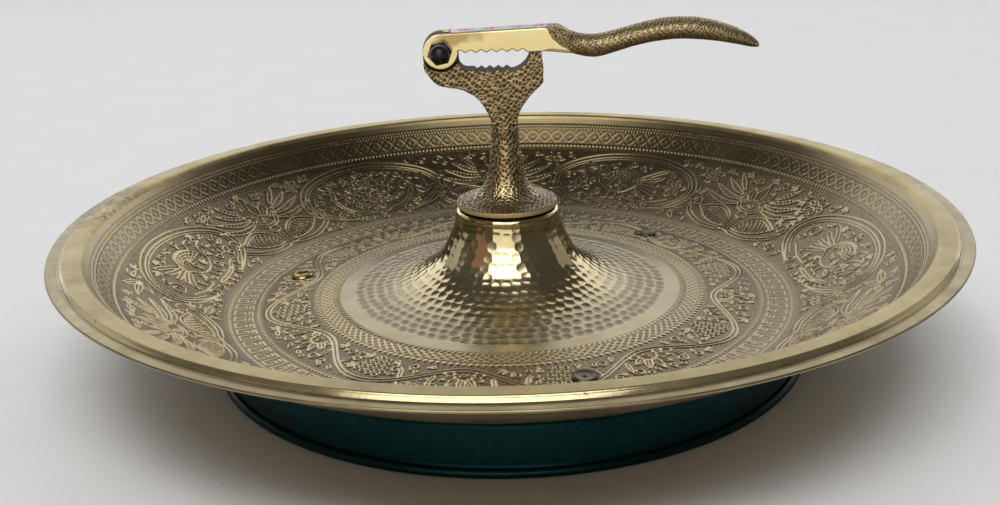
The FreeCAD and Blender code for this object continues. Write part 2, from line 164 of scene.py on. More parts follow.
def arc_points(a, b, c, count):
    """Points on the arc from a through b to c."""
    (ax, ay), (bx, by), (cx, cy) = a, b, c
    d = 2 * (ax * (by - cy) + bx * (cy - ay) + cx * (ay - by))
    aa, bb, cc = ax**2 + ay**2, bx**2 + by**2, cx**2 + cy**2
    ux = (aa * (by - cy) + bb * (cy - ay) + cc * (ay - by)) / d
    uy = (aa * (cx - bx) + bb * (ax - cx) + cc * (bx - ax)) / d
    t0, t1, t2 = (math.atan2(y - uy, x - ux) for x, y in (a, b, c))
    turn = (t2 - t0) % TAU
    if (t1 - t0) % TAU > turn:
        turn -= TAU
    radius = math.hypot(ax - ux, ay - uy)
    return around(ux, uy, radius, radius, t0 + turn * np.linspace(0, 1, count))


def joined(*parts):
    """One outline from several, without the points that they share."""
    rows = [np.asarray(parts[0], float)]
    for part in parts[1:]:
        part = np.asarray(part, float)
        skip = 1 if np.hypot(*(part[0] - rows[-1][-1])) < 1e-3 else 0
        rows.append(part[skip:])
    return np.concatenate(rows)


def points_at(at, s, outline):
    """The points of an outline at some distances, given the distances of its own points."""
    return np.stack([np.interp(at, s, outline[:, i]) for i in (0, 1)], axis=1)


def evenly(outline, step):
    """The same outline with points step apart, and their distances along it."""
    s = distances(outline)
    at = np.linspace(0, s[-1], max(int(round(s[-1] / step)), 2) + 1)
    return points_at(at, s, outline), at


def turns(columns):
    """The angles of a turned grid's columns, in radians."""
    return np.arange(columns)[None, :] / columns * TAU


def revolve(name, outline, columns, height=0, values=None):
    """An outline of (radius, rise) turned about the axis, with heights along its normals."""
    shape = len(outline), columns
    n, angle = normals(outline), turns(columns)
    height = np.broadcast_to(height, shape)
    radius = outline[:, :1] + n[:, :1] * height
    rise = outline[:, 1:] + n[:, 1:] * height + RIM_HEIGHT
    points = np.stack([radius * np.cos(angle), radius * np.sin(angle), rise], axis=-1).reshape(-1, 3)
    values = {key: np.broadcast_to(numbers, shape) for key, numbers in (values or {}).items()}
    return make_mesh(name, points, ring_faces(*shape), values)


# --- relief -----------------------------------------------------------------------------
def smooth(x):
    """x limited to 0..1, with soft ends."""
    x = np.clip(x, 0, 1)
    return x * x * (3 - 2 * x)


def highest(*layers):
    """The top of several reliefs that lie over each other."""
    return np.maximum.reduce(np.broadcast_arrays(*layers))


def from_mark(angle, radius, spacing, shift=0.0):
    """Distance round a radius from the nearest of many marks, about spacing apart."""
    count = round(TAU * radius / spacing)
    return ((angle / TAU * count + shift) % 1 - 0.5) * TAU * radius / count


def dome_shaped(x, y):
    """A half ball over the circle of radius 1."""
    return np.sqrt(np.clip(1 - x**2 - y**2, 0, 1))


def beads(angle, s, radius, row, spacing, size, height, phase=0.0):
    """A row of round beads at distance row along the section."""
    return height * dome_shaped(from_mark(angle, radius, spacing, phase) / size, (s - row) / size)


def rope(angle, s, radius, row, spacing, height):
    """A row of short slanting strands."""
    count = round(TAU * radius / spacing)
    x = ((angle / TAU * count + 0.55 * (s - row) / spacing) % 1 - 0.5) * spacing
    return height * dome_shaped(x / 0.62, (s - row) / 0.95)


def lattice(angle, s, radius, low, high, spacing):
    """Crossed slanting lines."""
    out = 0
    for side in (-1, 1):
        x = from_mark(angle, radius, spacing, 0.5 + side * (s - low) / (high - low) * 2)
        out = np.maximum(out, smooth(1.3 * (1 - 0.72 * np.abs(x) / 0.5)))
    return out * smooth((s - low) / 0.3) * smooth((high - s) / 0.3)


def hashed(a, b, seed):
    """Numbers from 0 to 1 that look random, from whole numbers."""
    v = np.sin(a * 127.1 + b * 311.7 + seed * 74.7) * 43758.5453
    return v - np.floor(v)


def value_noise(x, y, seed, period=1e6):
    """Soft noise on whole-number cells, which repeats along x after a period."""
    i, j = np.floor(x), np.floor(y)
    fx, fy = smooth(x - i), smooth(y - j)
    a, b = i % period, (i + 1) % period
    low = hashed(a, j, seed) * (1 - fx) + hashed(b, j, seed) * fx
    high = hashed(a, j + 1, seed) * (1 - fx) + hashed(b, j + 1, seed) * fx
    return low * (1 - fy) + high * fy


def stipple(x, y, cell, size, period, seed):
    """Small punched dots, one in each cell, from 0 to 1 deep. x repeats after period cells."""
    i, j = np.floor(x / cell), np.floor(y / cell)
    nearest = np.full(np.broadcast(x, y).shape, FAR)
    for di in (-1, 0, 1):
        for dj in (-1, 0, 1):
            a = (i + di) % period
            px = (i + di + 0.2 + 0.6 * hashed(a, j + dj, seed)) * cell
            py = (j + dj + 0.2 + 0.6 * hashed(a, j + dj, seed + 1)) * cell
            nearest = np.minimum(nearest, (x - px)**2 + (y - py)**2)
    return np.clip(1 - nearest / size**2, 0, 1)


class Engraving:
    """A strip of sheet as a grid of distances to the nearest engraved line, in line widths.
    x goes round the bowl and y outwards along the section, in millimetres."""

    def __init__(self, columns, length, y):
        self.columns = columns
        self.pitch = length / columns
        self.y = y
        self.step = y[1] - y[0]
        self.near = np.full((len(y), columns), FAR)

    def line(self, points, width=0.34):
        """A ridge along some points."""
        p = np.asarray(points, float)
        reach = 2.2 * width
        for (ax, ay), (bx, by) in zip(p[:-1], p[1:]):
            c0 = int(math.floor((min(ax, bx) - reach) / self.pitch))
            c1 = int(math.ceil((max(ax, bx) + reach) / self.pitch)) + 1
            r0 = max(int((min(ay, by) - reach - self.y[0]) / self.step), 0)
            r1 = min(int((max(ay, by) + reach - self.y[0]) / self.step) + 2, len(self.y))
            if r1 <= r0:
                continue
            gx = np.arange(c0, c1)[None, :] * self.pitch
            gy = self.y[r0:r1, None]
            ex, ey = bx - ax, by - ay
            t = np.clip(((gx - ax) * ex + (gy - ay) * ey) / (ex * ex + ey * ey + 1e-9), 0, 1)
            d = np.hypot(gx - ax - t * ex, gy - ay - t * ey) / width
            cols = np.arange(c0, c1) % self.columns
            self.near[r0:r1, cols] = np.minimum(self.near[r0:r1, cols], d)

    def ridge(self):
        """Height of the lines from 0 to 1, rounded on top."""
        return smooth(1.25 * (1 - self.near / 1.6))

    def room(self, block):
        """Distance to the nearest line or border, on a grid of blocks of cells."""
        rows, columns = len(self.y) // block, self.columns // block
        cut = self.near[:rows * block, :columns * block].reshape(rows, block, columns, block)
        free = np.where(cut.min(axis=(1, 3)) < 1.3, 0.0, FAR)
        free[0] = free[-1] = 0.0
        for _ in range(12):
            for side in (-1, 1):
                free = np.minimum(free, np.roll(free, side, axis=1) + 1)
            for side, step in ((0, 1), (-1, DIAGONAL), (1, DIAGONAL)):
                up, down = np.roll(free[:-1], side, axis=1), np.roll(free[1:], side, axis=1)
                free[1:] = np.minimum(free[1:], up + step)
                free[:-1] = np.minimum(free[:-1], down + step)
        return free * block * self.pitch


def curve(points):
    """A smooth line through some points."""
    p = np.asarray(points, float)
    p = np.concatenate([[2 * p[0] - p[1]], p, [2 * p[-1] - p[-2]]])
    out = []
    for a, b, c, d in zip(p, p[1:], p[2:], p[3:]):
        steps = max(int(np.hypot(*(c - b)) / 0.7), 2)
        t = np.linspace(0, 1, steps, endpoint=False)[:, None]
        out.append(0.5 * (2 * b + (c - a) * t + (2 * a - 5 * b + 4 * c - d) * t**2
                          + (3 * b - a - 3 * c + d) * t**3))
    return np.concatenate(out + [p[-2:-1]])


def oval(cx, cy, rx, ry, start=0.0, turn=360.0):
    """Points round an oval, from start and on by turn, in degrees."""
    count = max(int(abs(turn) / 360 * TAU * max(rx, ry) / 0.7), 7)
    return around(cx, cy, rx, ry, np.radians(start + turn * np.linspace(0, 1, count + 1)))


def spiral(cx, cy, outer, inner, start, turn):
    """A curl that closes in on its centre."""
    count = max(int(abs(turn) / 360 * TAU * outer / 0.6), 8)
    t = np.linspace(0, 1, count + 1)
    radius = outer + (inner - outer) * t
    return around(cx, cy, radius, radius, np.radians(start + turn * t))


def ribbon(e, points, gap, width=0.34):
    """A band between two lines, which narrows to a point at both of its ends."""
    t = np.linspace(0, 1, len(points))
    half = gap / 2 * np.clip(np.minimum(t, 1 - t) * 9, 0, 1)
    e.line(shifted(points, half), width)
    e.line(shifted(points, -half), width)


def rungs(e, low, high, count, bow=0.0, width=0.25):
    """Short curved strokes from one line across to another."""
    for k in range(1, count):
        a = low[int(k / count * (len(low) - 1))]
        b = high[int(k / count * (len(high) - 1))]
        if np.hypot(*(b - a)) > 1.0:
            e.line(curve([a, (a + b) / 2 + np.array([bow, 0]), b]), width)


def leaf(e, x, y, angle, length, width, ribs=0, line=0.3):
    """A pointed leaf with a midrib, and ribs on both sides of it."""
    def belly(t):
        return width / 2 * np.sin(math.pi * t**0.8)

    def draw(along, across, weight):
        e.line(turned(x, y, angle, along * length, across), weight)

    t = np.linspace(0, 1, 9)
    draw(t, belly(t), line)
    draw(t, -belly(t), line)
    if width > 2.2:
        draw(t[1:-1], 0 * t[1:-1], 0.75 * line)
    for k in range(ribs):
        at = (k + 1) / (ribs + 1)
        reach = 0.8 * belly(at)
        for side in (-1, 1):
            draw(np.array([at, at + 0.5 * reach / length]), np.array([0, side * reach]), 0.7 * line)


def fan(e, x, y, angle, spread, count, length, width):
    """A palmette: petals that spread from one point, clear of each other at their roots."""
    root = min(0.3 * length, 0.62 * width / math.radians(spread / (count - 1)))
    for k in range(count):
        turn = angle + spread * (k / (count - 1) - 0.5)
        size = length * (1 - 0.3 * abs(2 * k / (count - 1) - 1)) - root
        leaf(e, *polar(x, y, root, turn), turn, size, width)


def plume(e, points, width, count):
    """A long tapering feather with a rib across it here and there."""
    spine = curve(points)
    taper = np.sin(math.pi * np.linspace(0.12, 1, len(spine)))
    low, high = shifted(spine, -width / 2 * taper), shifted(spine, width / 2 * taper)
    e.line(low, 0.36)
    e.line(high, 0.36)
    rungs(e, low, high, count, 0.4, 0.22)


def berries(e, x, y, rows, size, angle):
    """A hanging cluster of round berries. rows is how many there are in each row."""
    for i, count in enumerate(rows):
        for j in range(count):
            centre = turned(x, y, angle, i * size * 1.8, (j - (count - 1) / 2) * size * 2.1)
            e.line(oval(*centre, 0.74 * size, 0.74 * size), 0.26)


def tendril(e, points, curl, side, gap=0.0):
    """A stem that ends in a curl. With a gap it is a ribbon."""
    stem = curve(points)
    if gap:
        ribbon(e, stem, gap)
    else:
        e.line(stem)
    tip, back = stem[-1], stem[-3]
    heading = math.degrees(math.atan2(tip[1] - back[1], tip[0] - back[0]))
    centre = polar(*tip, curl, heading + 90 * side)
    e.line(spiral(*centre, curl, 0.3 * curl, heading - 90 * side, 430 * side), 0.31)


def bird(e, x, y, side):
    """A small standing bird with a scaly body, facing side."""
    def at(*points):
        return curve(placed(x, y, side, points))

    e.line(at((-8, -1), (-5, 5), (1.5, 6.6), (6.5, 4.6), (8.2, 7.4), (11, 8.2), (12.6, 6.2),
              (15.6, 5.2)), 0.38)
    e.line(at((15.6, 5.2), (12.2, 4), (10, 1.4), (8.6, -3), (4, -6.2), (-2, -6.2), (-8, -1)), 0.38)
    e.line(oval(x + side * 11, y + 6.2, 0.5, 0.5), 0.26)
    scales = [oval(x + side * (0.6 - 0.75 * k), y + 0.2, 7.6 - 1.5 * k, 5.6 - 1.1 * k,
                   90 - 95 * side, 190 * side) for k in range(5)]
    for outer, inner in zip(scales[:-1], scales[1:]):
        e.line(outer, 0.26)
        rungs(e, outer, inner, 12, 0, 0.2)
    for k in range(5):
        feather = at((-7.2, 1.6 - 0.9 * k), (-12.4 - k, 5.4 - 3 * k), (-17.5 + 0.4 * k, 8.6 - 4.3 * k))
        ribbon(e, feather, 1.5, 0.28)
    for k in (0, 3.4):
        e.line(at((0.5 + k, -6.3), (0.2 + k, -8.6), (1.2 + k, -10.4), (3.4 + k, -10.7)), 0.34)


def blossom(e, x, y):
    """A large flower with two rings of petals."""
    e.line(oval(x, y, 2.2, 2.2), 0.34)
    e.line(oval(x, y, 0.8, 0.8), 0.3)
    for turn in range(0, 360, 40):
        leaf(e, *polar(x, y, 2.8, turn), turn, 4.6, 2.3)
        leaf(e, *polar(x, y, 5.4, turn + 20), turn + 20, 5.4, 3.5, 1)


def medallion(e, x, width, height, middle, number):
    """An open oval frame that ends in curls, with a bird or a blossom in it."""
    ribbon(e, oval(x, middle, width / 2 - 0.9, height / 2 - 0.9, -64, 308), 1.9, 0.38)
    e.line(oval(x, middle, width / 2 - 3.3, height / 2 - 3.1, -50, 280), 0.24)
    for side in (-1, 1):
        curl = x + side * (0.21 * width - 0.2), middle - 0.45 * height + 2.6
        e.line(spiral(*curl, 2.6, 0.6, -90, -side * 450), 0.36)
    if number in BIRDS:
        side = 1 if number % 3 else -1
        bird(e, x + side * 1.5, middle + 1.0, side)
        fan(e, x + side * 19, middle - 6.5, 90 - side * 10, 130, 5, 8.2, 2.2)
        tendril(e, placed(x, middle, side, [(-3, -12.3), (10, -11.6), (17, -8)]), 2.2, -side, 1.2)
        tendril(e, placed(x, middle, side, [(-22, -6.4), (-14, -9.6), (-6, -10.4)]), 1.9, side)
        return
    blossom(e, x, middle + 0.4)
    for side in (-1, 1):
        tendril(e, placed(x, middle, side, [(3, -12.4), (13, -8.6), (18, 0)]), 3.2, side, 1.3)
        fan(e, x + side * 13.6, middle + 4.6, 90 - side * 60, 120, 5, 7.6, 2.1)
        leaf(e, x + side * 15.5, middle - 7.4, 90 - side * 125, 8, 3, 2)


def husk(e, x, y, side):
    """A long boat-shaped leaf full of scales, which leans to one side."""
    low = curve(placed(x, y, side, [(0, 0), (5.7, -0.4), (13.3, 2.0), (19, 7.2)]))
    top = curve(placed(x, y, side, [(0, 0), (1.9, 6.2), (9.5, 10.2), (19, 7.2)]))
    inner = shifted(top, -side * 1.3)
    e.line(low, 0.38)
    e.line(top, 0.38)
    e.line(inner, 0.26)
    rungs(e, low, inner, 12, side * 1.2)


def between(e, x, middle):
    """The upright palmette between two medallions, with long leaves and curls at its sides."""
    ribbon(e, curve(placed(x, middle, 1, [(-0.2, -15.5), (0.2, -11), (0, -6.6)])), 1.6)
    e.line(oval(x, middle - 4.8, 2.5, 1.7))
    ribbon(e, curve(placed(x, middle, 1, [(-6.5, 4), (-4.4, -1.2), (0, -2.6), (4.4, -1.2), (6.5, 4)])), 1.3)
    fan(e, x, middle - 1.4, 90, 96, 5, 15.0, 3.6)
    for side in (-1, 1):
        husk(e, x + side * 2.2, middle - 13, side)
        stem = placed(x, middle, side, [(1, -15.2), (13, -15.4), (23, -11), (26.5, -5.4)])
        tendril(e, stem, 3.0, side, 1.7)
        for k in range(4):
            spine = [(6.2 + 0.7 * k, 0.2 + 2.5 * k), (14.2 - 1.1 * k, 3.9 * k - 0.6),
                     (24.6 - 3.5 * k, 3.6 + 4.0 * k)]
            plume(e, placed(x, middle, side, spine), 2.2 - 0.15 * k, 12 - 2 * k)


def fill(e, least):
    """Small curls, sprigs and berries wherever the ground between the motifs is still bare."""
    block = 3
    free = e.room(block)
    x = (np.arange(free.shape[1]) + 0.5) * block * e.pitch
    y = e.y[0] + (np.arange(free.shape[0])[:, None] + 0.5) * block * e.step
    length = e.columns * e.pitch
    for _ in range(MOST_SPRIGS):
        row, column = np.unravel_index(np.argmax(free), free.shape)
        d = free[row, column]
        if d < least:
            return
        cx, cy = x[column], y[row, 0]
        sprig(e, cx, cy, d, 360 * rng.random(), rng.random())
        across = np.abs(x - cx)
        across = np.minimum(across, length - across)
        free = np.minimum(free, np.maximum(np.hypot(across, y - cy) - 0.86 * d, 0))


def sprig(e, x, y, size, angle, choice):
    """One small ornament that fits in a circle."""
    tail = polar(x, y, -0.8 * size, angle)
    if size > 3.8 and choice < 0.4:
        e.line(oval(x, y, 0.2 * size, 0.2 * size), 0.3)
        for k in range(6):
            turn = angle + 60 * k
            leaf(e, *polar(x, y, 0.3 * size, turn), turn, 0.56 * size, 0.36 * size)
    elif size > 2.0 and choice < 0.75:
        side = 1 if choice < 0.5 else -1
        centre = polar(x, y, -0.25 * size, angle)
        e.line(spiral(*centre, 0.58 * size, 0.16 * size, angle, 470 * side), 0.3)
        leaf(e, *polar(x, y, 0.3 * size, angle), angle + 40 * side, 0.55 * size, 0.3 * size)
    elif size > 1.9:
        for turn in (-42, 0, 42):
            leaf(e, *tail, angle + turn, (1.3 if turn else 1.7) * size, 0.42 * size)
    elif choice < 0.55:
        leaf(e, *tail, angle, 1.6 * size, 0.7 * size, 0, 0.26)
    else:
        e.line(oval(x, y, 0.5 * size, 0.5 * size), 0.26)


def shaken(units, length, amount):
    """A seeded shift for each unit, so that hand-cut units differ."""
    return [(k + amount * (rng.random() - 0.5)) * length / units for k in range(units)]


def wall_frieze(columns, y):
    """Medallions and palmettes round the bowl's wall."""
    length = TAU * 113.0
    e = Engraving(columns, length, y)
    middle = (y[0] + y[-1]) / 2 - 0.3
    for k, degrees in enumerate(MEDALLIONS):
        after = MEDALLIONS[k + 1] if k + 1 < len(MEDALLIONS) else MEDALLIONS[0] + 360
        medallion(e, length * degrees / 360, 64.0, 0.93 * (y[-1] - y[0]), middle, k)
        between(e, length * (degrees + after) / 720, middle)
    fill(e, 1.9)
    return e


def floor_frieze(columns, y):
    """A running stem with grapes and leaves in its waves."""
    length = TAU * 76.5
    e = Engraving(columns, length, y)
    middle = (y[0] + y[-1]) / 2
    unit = length / FLOOR_UNITS
    x = np.linspace(0, length, 60 * FLOOR_UNITS + 1)
    for shift in (-0.75, 0.75):
        e.line(np.stack([x, middle + 6.6 * np.sin(x / unit * TAU) + shift], axis=1))
    for x in shaken(FLOOR_UNITS, length, 0.03):
        crest, trough = x + unit * 0.25, x + unit * 0.75
        berries(e, crest - 0.6, middle + 2.2, (4, 5, 4, 3, 2), 1.22, -80)
        tendril(e, placed(crest, middle, 1, [(11, 2), (9.4, -3)]), 1.9, -1, 1.1)
        tendril(e, placed(crest, middle, -1, [(11, 1.6), (10, -3)]), 1.7, 1, 1.1)
        fan(e, trough, middle - 3.8, 90, 180, 7, 9.6, 2.4)
        for side in (-1, 1):
            tendril(e, placed(trough, middle, side, [(9, -2), (10, 3.4)]), 2.0, side, 1.1)
    fill(e, 1.4)
    return e


def key_band(e, low, high, length):
    """A meander of hooked lines."""
    unit = length / round(length / 5.6)
    tall = high - low
    hook = [(0.0, 0.08), (0.0, 0.92), (0.62, 0.92), (0.62, 0.42), (0.34, 0.42), (0.34, 0.62)]
    back = [(1.0, 0.92), (1.0, 0.08), (0.34, 0.08), (0.34, 0.24), (0.66, 0.24)]
    for k in range(round(length / unit)):
        for shape in (hook, back):
            e.line([((k + px) * unit, low + py * tall) for px, py in shape], 0.33)


def braid(angle, s, radius, low, high, spacing):
    """Two waves that cross, with a seed in each eye and a bead beside each crossing."""
    count = round(TAU * radius / spacing)
    phase = angle * count / 2
    middle, swing = (low + high) / 2, 0.4 * (high - low)
    slope = swing * count / 2 / radius
    out = 0
    for side in (-1, 1):
        wave = middle + side * swing * np.sin(phase)
        d = np.abs(s - wave) / np.sqrt(1 + (slope * np.cos(phase))**2)
        out = np.maximum(out, smooth(1.2 * (1 - d / 0.85)))
    seed = np.hypot(from_mark(angle, radius, spacing) / 1.6, s - middle) / 0.8
    out = np.maximum(out, 0.75 * smooth(1.5 * (1 - seed)))
    for row in (low + 0.35, high - 0.35):
        out = np.maximum(out, beads(angle, s, radius, row, spacing, 0.5, 0.8, 0.5))
    return out


# --- bowl -------------------------------------------------------------------------------
def floor_rise(radius):
    """Height of the conical floor."""
    return FLOOR_RISE - (radius - FLOOR_START) * FLOOR_SLOPE


def dome_outline():
    """From the screw hole, over the dome's shoulder, down to the floor."""
    side = clamped_spline([(FLOOR_START, FLOOR_RISE), (48.0, -26.4), (40.0, -25.0), (33.2, -22.5),
                           (26.9, -18.5), (23.3, -15.0), (21.1, -11.2), (19.3, -7.5), (18.1, -3.8),
                           (17.6, -0.4)], (-1, FLOOR_SLOPE), (0, 1), 0.2)[::-1]
    shoulder = arc_points((16.1, DOME_RISE), (17.16, 0.66), (17.6, -0.4), 12)
    return joined([(HOLE_RADIUS, DOME_RISE), (16.1, DOME_RISE)], shoulder, side)


def wall_outline():
    """From the floor up to the inside of the lip."""
    foot = (FLOOR_END, floor_rise(FLOOR_END))
    wall = clamped_spline([foot, (96.0, -29.7), (104.0, -27.0), (112.0, -23.0), (121.0, -17.9),
                           (130.3, -11.4), (136.0, -4.2), (138.8, -0.7)],
                          (1, -FLOOR_SLOPE), (0.6, 0.8), 0.2)
    return joined([(FLOOR_START, FLOOR_RISE), foot], wall)


def between_radii(outline, r0, r1, step):
    """The stretch of an outline between two radii, evenly divided."""
    full, s = evenly(outline, 0.05)
    order = np.argsort(full[:, 0])
    start, end = np.interp([r0, r1], full[order, 0], s[order])
    at = np.linspace(start, end, round((end - start) / step) + 1)
    return points_at(at, s, full), at - start


def row_at(outline, s, radius):
    """Distance along an outline where it reaches a radius."""
    return float(np.interp(radius, outline[:, 0], s))


def dimples(angle, s, radius_at, length):
    """Rows of hammer marks, closer together up the dome. Depth 0 to 1."""
    pitch = 3.35
    rows = int(length / pitch) + 2
    best = np.full(np.broadcast(angle, s).shape, FAR)
    for k in range(rows):
        row = length - 1.9 - k * pitch
        radius = max(float(radius_at(row)), 12.0)
        width = 3.1 + 0.85 * smooth(np.array((radius - 18) / 34))
        count = int(round(TAU * radius / width))
        t = angle / TAU * count + 0.5 * (k % 2) + 0.3 * k
        for shift in (0, 1):
            i = np.floor(t) + shift
            j = i % count
            dx = (t - i + 0.22 * (hashed(j, k, 3) - 0.5)) * TAU * radius / count
            dy = s - row + 0.7 * (hashed(j, k, 5) - 0.5)
            grow = 1 + 0.16 * (hashed(j, k, 9) - 0.5)
            d2 = (dx / (0.56 * width * grow))**2 + (dy / (1.78 * grow))**2
            best = np.minimum(best, d2)
    return np.clip(1 - best, 0, 1)


def bowl_dome():
    """The hammered dome, smooth only on its shoulder."""
    outline, s = between_radii(dome_outline(), HOLE_RADIUS, DOME_EDGE, 0.28)
    columns = 960
    angle, way, radius = turns(columns), s[:, None], outline[:, 0]
    dent = dimples(angle, way, lambda at: np.interp(at, s, radius), s[-1])
    below = smooth((way - row_at(outline[4:], s[4:], 15.8)) / 2.0)
    wave = value_noise(angle / TAU * 9, way / 9, 21, 9) - 0.5
    depth = 0.1 + 0.17 * smooth((radius[:, None] - 22) / 14)
    height = below * (-depth * dent + 0.1 * wave)
    return revolve("bowl_dome", outline, columns, height, {"relief": 1 - dent * below, "worn": below})


def add_frieze(height, s, low, high, draw, tall, radius, cell, seed):
    """Height with a frieze engraved from row low to row high, on stippled ground."""
    inner, outer = np.searchsorted(s, [low, high])
    frieze = draw(height.shape[1], s[inner:outer])
    height[inner:outer] = np.maximum(height[inner:outer], tall * frieze.ridge())
    way = s[:, None]
    dots = stipple(turns(height.shape[1]) * radius, way, cell, 0.5, round(TAU * radius / cell), seed)
    dots = dots * smooth((way - low) / 0.4) * smooth((high - way) / 0.4)
    return height - 0.1 * dots * (height < 0.05)


def bowl_floor():
    """From the dome outwards: a plain ring, rope, lattice, beads, grape vine, beads and meander."""
    outline, s = between_radii(joined(dome_outline(), wall_outline()), DOME_EDGE, FLOOR_EDGE, 0.25)
    at = partial(row_at, outline, s)
    columns = 2000
    angle, way = turns(columns), s[:, None]
    key = Engraving(columns, TAU * 91.2, s)
    key_band(key, at(87.3) + 0.4, at(95.2) - 0.5, TAU * 91.2)
    height = highest(0.16 * lattice(angle, way, 63.0, at(60.6), at(65.4), 3.0),
                     rope(angle, way, 59.7, at(59.7), 1.9, 0.24),
                     beads(angle, way, 66.5, at(66.5), 2.1, 0.95, 0.3),
                     beads(angle, way, 86.3, at(86.3), 1.6, 0.7, 0.24),
                     beads(angle, way, 96.0, at(95.2) + 0.7, 1.6, 0.7, 0.24),
                     0.2 * key.ridge())
    height = add_frieze(height, s, at(67.6), at(85.2), floor_frieze, 0.24, 76, 1.02, 31)
    plain = smooth((at(59.7) - 1.1 - way) / 0.3)
    height = height * (1 - plain)
    for degrees in RIVETS:
        apart = (angle - math.radians(degrees) + math.pi) % TAU - math.pi
        d = np.hypot(apart * RIVET_CIRCLE, way - at(RIVET_CIRCLE))
        height = height * smooth((d - 3.9) / 0.9) - 0.16 * smooth((5.0 - d) / 0.9)
    relief = np.clip(0.25 + height / 0.24, 0, 1) * (1 - plain) + plain
    lathe = 0.012 * np.sin(way * 9.0) * plain
    return revolve("bowl_floor", outline, columns, height + lathe, {"relief": relief, "worn": plain})


def bowl_wall():
    """From the floor upwards: medallions, beads, braid, two more rows of beads, and a plain hollow."""
    outline, s = between_radii(wall_outline(), FLOOR_EDGE, WALL_EDGE, 0.26)
    at = partial(row_at, outline, s)
    columns = 2700
    angle, way = turns(columns), s[:, None]
    top = at(134.9)
    height = highest(beads(angle, way, 130.3, at(130.3), 1.62, 0.72, 0.27),
                     0.11 * braid(angle, way, 133.2, at(131.2), top, 5.4),
                     beads(angle, way, 135.6, top + 0.75, 1.3, 0.58, 0.2),
                     beads(angle, way, 136.3, top + 2.0, 1.3, 0.58, 0.2, 0.5))
    height = add_frieze(height, s, at(97.6), at(129.4), wall_frieze, 0.28, 113, 1.05, 41)
    plain = smooth((way - top - 3.0) / 0.4)
    relief = np.clip(0.25 + height / 0.28, 0, 1) * (1 - plain) + 0.55 * plain
    return revolve("bowl_wall", outline, columns, height, {"relief": relief, "worn": 0.3 * plain})


def bowl_shell():
    """The lip, its stepped hem, the plain underside and the wall of the screw hole."""
    wall, _ = between_radii(wall_outline(), WALL_EDGE, 138.79, 0.1)
    full, _ = evenly(joined(dome_outline(), wall_outline()), 0.5)
    under = shifted(full, -SHEET)[::-1]
    under = under[(under[:, 0] < 137.5) & (under[:, 0] > 4.3)]
    lip = joined(wall, arc_points((138.8, -0.7), (139.5, -0.2), (140.3, 0.0), 8),
                 [(141.6, 0.0), (144.2, 0.0)],
                 arc_points((144.5, 0.0), (144.85, -0.08), (145.1, -0.32), 8),
                 arc_points((145.1, -0.32), (145.62, -0.78), (146.0, -1.28), 8),
                 arc_points((146.0, -1.28), (146.25, -1.47), (146.7, -1.52), 8),
                 arc_points((146.7, -1.52), (148.2, -1.42), (149.4, -1.52), 12),
                 arc_points((149.4, -1.52), (149.99, -1.98), (149.4, -2.44), 12), [(147.0, -2.5)],
                 arc_points((146.4, -2.4), (145.6, -1.9), (144.9, -1.1), 8), [(144.3, -1.0), (140.8, -1.0)],
                 arc_points((140.8, -1.0), (140.2, -1.15), (139.6, -1.6), 5))
    hole = [(4.0, DOME_RISE - SHEET), (HOLE_RADIUS, DOME_RISE - SHEET), (HOLE_RADIUS, DOME_RISE)]
    outline = joined(lip, under, hole)
    way = distances(outline)[:, None]
    lathe = 0.01 * np.sin(way * 5.0) * smooth((way - 26) / 2)
    return revolve("bowl_shell", outline, 720, lathe, {"worn": smooth((26 - way) / 3)})


def rivet(name, degrees, rim, hollow, nub):
    """A cupped head, the shank and the spread tail of one rivet."""
    cup = arc_points((0.9, hollow), (2.0, hollow + 0.1), (2.8, rim - 0.14), 8)
    edge = arc_points((2.8, rim - 0.14), (3.05, rim), (3.3, rim - 0.12), 6)
    skirt = arc_points((3.3, rim - 0.12), (3.65, 0.5 * rim), (3.85, 0.06), 6)
    tail = arc_points((3.2, -1.95), (2.5, -2.75), (1.0, -2.85), 6)
    middle = [(0.01, hollow + nub), (0.45, hollow + nub), (0.75, hollow + 0.2 * nub)]
    shank = [(2.0, 0.06), (2.0, -1.95)]
    outline = joined(middle, cup, edge, skirt, shank, tail, [(0.01, -2.85)])
    piece = revolve(name, outline, 48)
    slope = Matrix.Rotation(math.atan(FLOOR_SLOPE), 4, "Y")
    seat = Matrix.Translation((RIVET_CIRCLE * MM, 0, (RIM_HEIGHT + floor_rise(RIVET_CIRCLE)) * MM))
    turn = Matrix.Rotation(math.radians(degrees), 4, "Z")
    piece.data.transform(turn @ seat @ slope @ Matrix.Translation((0, 0, -RIM_HEIGHT * MM)))
    return piece


# --- nutcracker -------------------------------------------------------------------------
def cast_copy(name, node, voxel, soften):
    """A CAD node's shape as an even fine mesh with soft edges, as points and normals in millimetres."""
    ob = new_object(name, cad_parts[node].data.copy())
    ob.data.materials.clear()
    even = ob.modifiers.new("even", "REMESH")
    even.mode = "VOXEL"
    even.voxel_size = voxel * MM
    relax = ob.modifiers.new("soft", "SMOOTH")
    relax.factor = 0.5
    relax.iterations = soften
    mesh = bpy.data.meshes.new_from_object(ob.evaluated_get(bpy.context.evaluated_depsgraph_get()))
    ob.modifiers.clear()
    ob.data = mesh
    mesh.shade_smooth()
    count = len(mesh.vertices)
    points = np.empty(count * 3, np.float32)
    mesh.vertices.foreach_get("co", points)
    normals = np.empty(count * 3, np.float32)
    mesh.vertex_normals.foreach_get("vector", normals)
    return ob, points.reshape(-1, 3) / MM, normals.reshape(-1, 3)


def finish_cast(ob, points, values):
    """Gives a cast copy its moved points and its named numbers."""
    ob.data.vertices.foreach_set("co", (points * MM).astype(np.float32).ravel())
    store(ob.data, values)
    ob.data.update()
    return ob


